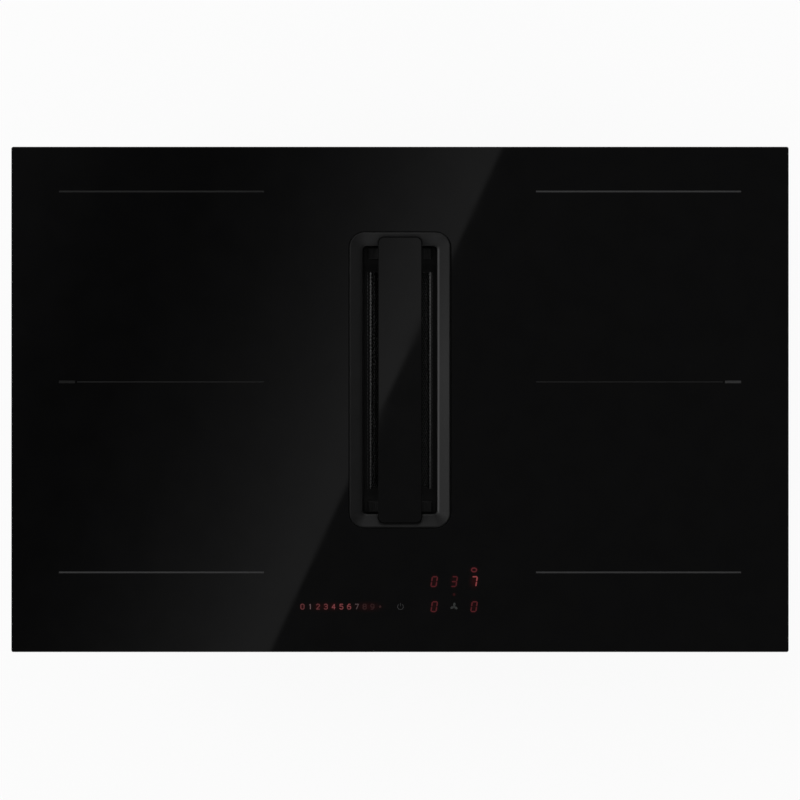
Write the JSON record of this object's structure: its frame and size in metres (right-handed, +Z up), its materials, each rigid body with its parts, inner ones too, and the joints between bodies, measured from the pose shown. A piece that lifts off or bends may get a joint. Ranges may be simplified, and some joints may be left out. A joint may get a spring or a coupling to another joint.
{
  "type": "downdraft induction cooktop",
  "caption": "Black glass induction cooktop with cooking zones either side of a central extractor slot, over a base tray and a plenum box with a blower and a rear duct outlet.",
  "frame": {"origin": "middle of the glass in plan, on the worktop's surface, which the seal's underside meets", "axes": "+X to the cook's right, +Y to the back, +Z up"},
  "size_m": [0.8, 0.52, 0.2075],
  "materials": {
    "black_glass": "gloss",
    "white_print": "satin",
    "red_light": "lit",
    "grey_print": "satin",
    "rim_metal": "satin",
    "carrier_metal": "matt",
    "mesh_steel": "satin",
    "black_plastic": "matt",
    "grey_plastic": "matt",
    "galvanised": "satin",
    "aluminium": "satin",
    "copper_wire": "satin",
    "ferrite": "matt",
    "mica": "matt",
    "circuit_board": "satin",
    "component": "gloss",
    "foam_seal": "matt",
    "silicone": "matt",
    "zinc_screw": "gloss",
    "bearing_steel": "polished",
    "white_nylon": "matt"
  },
  "bodies": {
    "root": {"glass_top": "black_glass", "zone_lines": "white_print", "display_digits": "red_light", "slider_digits": "red_light", "key_symbols": "grey_print", "worktop_seal": "foam_seal", "intake_rim": "rim_metal", "rim_gasket": "silicone", "intake_duct": "black_plastic", "base_tray": "galvanised", "case_screws": "zinc_screw", "coil_support_left": "aluminium", "coil_support_right": "aluminium", "coil_insulation": "mica", "coil_rear_left": "copper_wire", "coil_rear_right": "copper_wire", "coil_front_left": "copper_wire", "coil_front_right": "copper_wire", "coil_formers": "black_plastic", "coil_ferrites": "ferrite", "coil_sensors": "white_nylon", "power_board_left": "circuit_board", "power_board_right": "circuit_board", "heat_sink_left": "aluminium", "heat_sink_right": "aluminium", "electrical_parts": "component", "fan_case_left": "black_plastic", "fan_case_right": "black_plastic", "control_board": "circuit_board", "display_modules": "component", "touch_pads": "copper_wire", "control_bracket": "white_nylon", "terminal_cover": "black_plastic", "cable_gland": "black_plastic", "plenum_lid": "grey_plastic", "plenum_tub": "grey_plastic", "scroll_upper": "black_plastic", "scroll_lower": "black_plastic", "outlet_duct": "black_plastic", "motor_can": "galvanised", "motor_bearings": "bearing_steel", "motor_bracket": "galvanised", "driver_box": "black_plastic", "fan_cable": "black_plastic"},
    "container": {"liquid_container": "grey_plastic"},
    "filter": {"filter_frame": "black_plastic", "filter_mesh_left": "mesh_steel", "filter_mesh_right": "mesh_steel", "drip_channel": "mesh_steel"},
    "cover": {"cover_glass": "black_glass", "cover_carrier": "carrier_metal", "cover_pads": "silicone"},
    "blower_wheel": {"impeller": "black_plastic", "motor_shaft": "bearing_steel"},
    "left_fan": {"fan_rotor_left": "black_plastic"},
    "right_fan": {"fan_rotor_right": "black_plastic"},
    "rear_left_clamp": {"clamp_rear_left": "galvanised"},
    "rear_right_clamp": {"clamp_rear_right": "galvanised"},
    "front_left_clamp": {"clamp_front_left": "galvanised"},
    "front_right_clamp": {"clamp_front_right": "galvanised"}
  },
  "joints": [
    {"name": "container_lift", "type": "slide", "parent": "root", "child": "container", "axis": [0, 0, 1], "range_m": [0, 0.21]},
    {"name": "filter_lift", "type": "slide", "parent": "container", "child": "filter", "axis": [0, 0, 1], "range_m": [0, 0.14]},
    {"name": "cover_lift", "type": "slide", "parent": "filter", "child": "cover", "axis": [0, 0, 1], "range_m": [0, 0.08]},
    {"name": "blower_spin", "type": "hinge", "parent": "root", "child": "blower_wheel", "pos_m": [0.16, -0.01, -0.126], "axis": [0, 0, 1], "continuous": true},
    {"name": "left_fan_spin", "type": "hinge", "parent": "root", "child": "left_fan", "pos_m": [-0.3, 0.159, -0.0375], "axis": [0, 0, 1], "continuous": true},
    {"name": "right_fan_spin", "type": "hinge", "parent": "root", "child": "right_fan", "pos_m": [0.3, 0.159, -0.0375], "axis": [0, 0, 1], "continuous": true},
    {"name": "rear_left_clamp_swing", "type": "hinge", "parent": "root", "child": "rear_left_clamp", "pos_m": [-0.35, 0.15, -0.054], "axis": [0, 0, 1], "range_deg": [-90, 0]},
    {"name": "rear_right_clamp_swing", "type": "hinge", "parent": "root", "child": "rear_right_clamp", "pos_m": [0.35, 0.15, -0.054], "axis": [0, 0, 1], "range_deg": [0, 90]},
    {"name": "front_left_clamp_swing", "type": "hinge", "parent": "root", "child": "front_left_clamp", "pos_m": [-0.35, -0.15, -0.054], "axis": [0, 0, 1], "range_deg": [0, 90]},
    {"name": "front_right_clamp_swing", "type": "hinge", "parent": "root", "child": "front_right_clamp", "pos_m": [0.35, -0.15, -0.054], "axis": [0, 0, 1], "range_deg": [-90, 0]}
  ]
}
